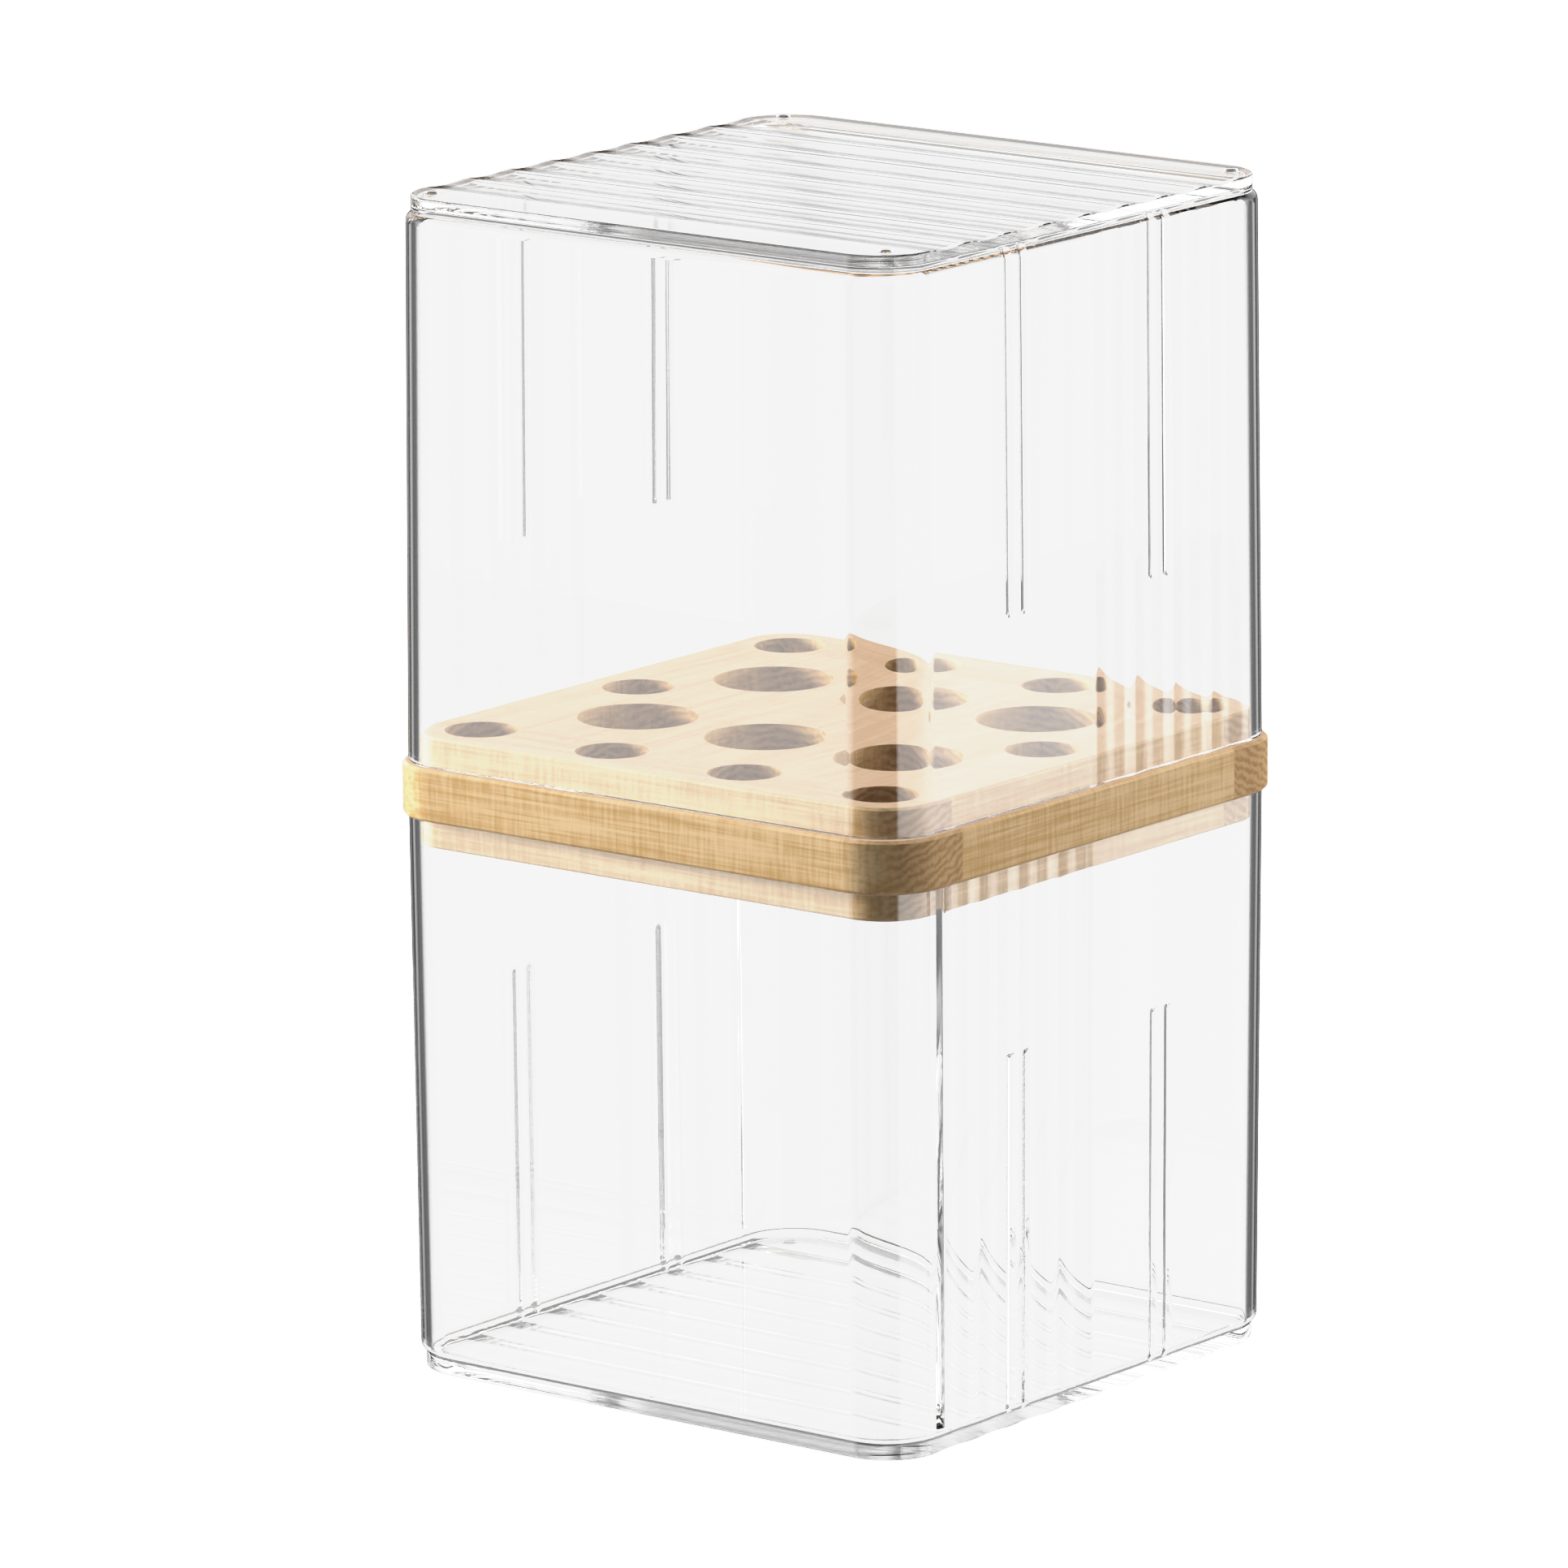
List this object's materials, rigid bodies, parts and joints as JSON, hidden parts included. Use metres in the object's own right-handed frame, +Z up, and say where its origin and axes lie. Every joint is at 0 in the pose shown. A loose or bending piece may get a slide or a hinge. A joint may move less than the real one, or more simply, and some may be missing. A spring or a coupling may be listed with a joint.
{
  "type": "brush holder",
  "caption": "Square make-up brush holder: a drilled wooden board seated between a clear storage bin and the same bin inverted as a lift-off dust cover.",
  "frame": {"origin": "middle of the footprint, at the level of the storage bin's feet", "axes": "+Z up out of the open storage bin; the plain walls face -Y (front) and +Y, the half-fluted walls face +X (right) and -X"},
  "size_m": [0.1338, 0.1338, 0.2452],
  "materials": {
    "clear_plastic": "clear, colourless, polished",
    "wood": "bare light hardwood, sanded smooth"
  },
  "bodies": {
    "storage": {"storage_bin": "clear_plastic"},
    "brush_board": {"board_panel": "wood", "front_batten": "wood", "rear_batten": "wood"},
    "cover": {"cover_bin": "clear_plastic"}
  },
  "joints": [
    {"name": "board_lift", "type": "slide", "parent": "storage", "child": "brush_board", "axis": [0, 0, 1], "range_m": [0, 0.12]},
    {"name": "cover_lift", "type": "slide", "parent": "brush_board", "child": "cover", "axis": [0, 0, 1], "range_m": [0, 0.12]}
  ]
}
